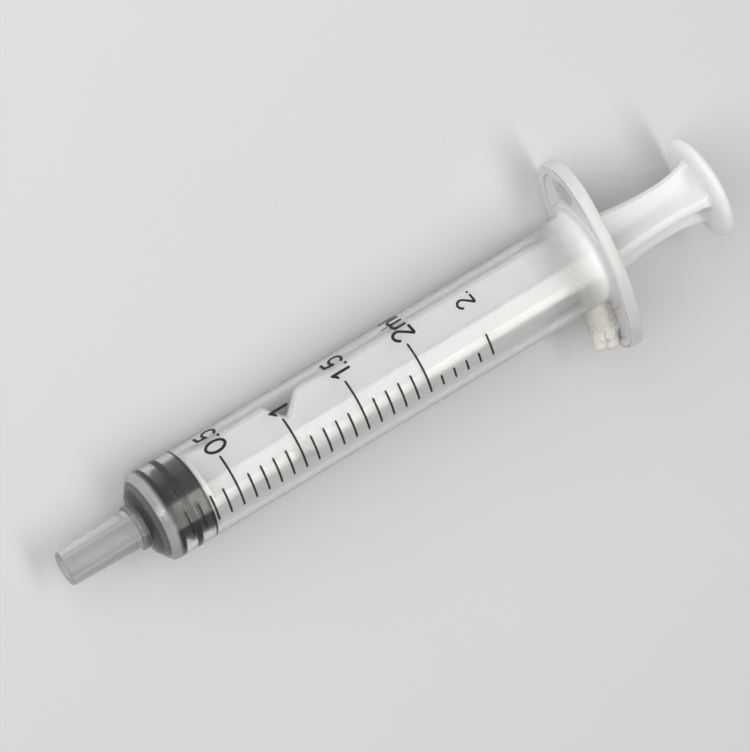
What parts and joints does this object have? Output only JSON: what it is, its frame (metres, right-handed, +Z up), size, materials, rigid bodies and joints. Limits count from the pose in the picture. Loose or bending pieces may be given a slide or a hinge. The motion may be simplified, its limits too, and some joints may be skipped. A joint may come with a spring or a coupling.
{
  "type": "dosing syringe",
  "caption": "Small clear dosing syringe with a tapered slip nozzle, oval finger flange, printed ml scale, black ribbed stopper and white ribbed plunger rod pushed home.",
  "frame": {"origin": "under the middle of the syringe's box, on the surface it lies on", "axes": "+X from the nozzle towards the thumb disc, +Y from the ear with the torn lump to the other ear, +Z up; the syringe's own axis dips 1.7 degrees towards the nozzle, as it lies"},
  "size_m": [0.0828, 0.0236, 0.0139],
  "materials": {
    "clear_plastic": "clear, faintly milky moulded plastic",
    "white_plastic": "smooth white moulded plastic",
    "black_rubber": "smooth, lightly oiled rubber",
    "black_ink": "printed ink"
  },
  "bodies": {
    "barrel": {"barrel": "clear_plastic", "scale_print": "black_ink"},
    "stopper": {"stopper": "black_rubber"},
    "rod": {"plunger_rod": "white_plastic"}
  },
  "joints": [
    {"name": "plunger_slide", "type": "slide", "parent": "barrel", "child": "stopper", "axis": [0.9995, 0, 0.0305], "range_m": [0, 0.0465]},
    {"name": "rod_spin", "type": "hinge", "parent": "stopper", "child": "rod", "pos_m": [-0.025, 0, 0.0054], "axis": [0.9995, 0, 0.0305], "continuous": true}
  ]
}
